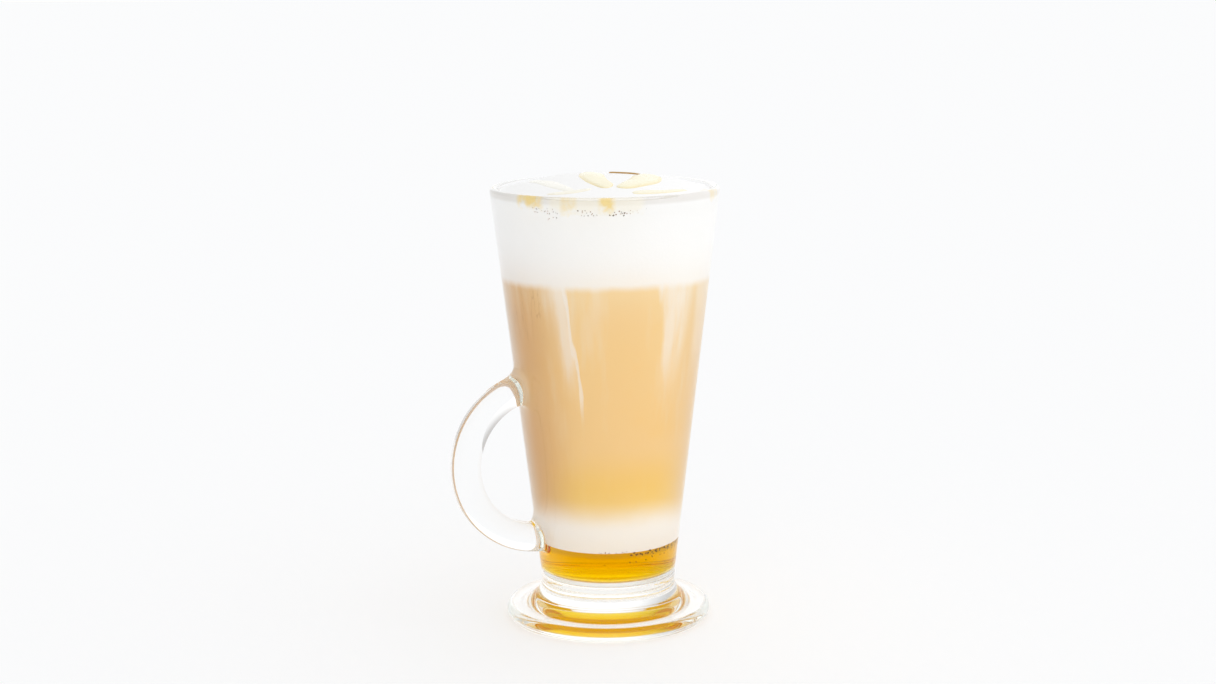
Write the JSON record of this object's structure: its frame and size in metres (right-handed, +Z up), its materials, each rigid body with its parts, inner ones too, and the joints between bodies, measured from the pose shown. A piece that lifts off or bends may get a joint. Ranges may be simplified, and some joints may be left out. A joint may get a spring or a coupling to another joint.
{
  "type": "latte in a footed glass",
  "caption": "Layered latte in a tall footed glass with a C-shaped handle: syrup, white milk, milky coffee and a domed cap of milk foam.",
  "frame": {"origin": "centre of the foot's flat underside, on the axis of the glass", "axes": "+Z up along the glass's axis; the handle points along -X, and the part is symmetric about the XZ plane"},
  "size_m": [0.0955, 0.0776, 0.1542],
  "materials": {
    "clear_glass": "polished clear pressed glass, a little green where it is thick",
    "golden_syrup": "clear golden amber syrup",
    "white_milk": "opaque creamy white milk",
    "milk_coffee": "opaque beige milky coffee, warmer towards the bottom",
    "milk_foam": "fine matt white milk foam",
    "caramel_sauce": "thin glossy pale caramel sauce",
    "dark_specks": "fine dark brown grains"
  },
  "bodies": {
    "root": {"glass": "clear_glass", "syrup": "golden_syrup", "milk": "white_milk", "milk_coffee": "milk_coffee", "foam": "milk_foam"}
  },
  "joints": []
}
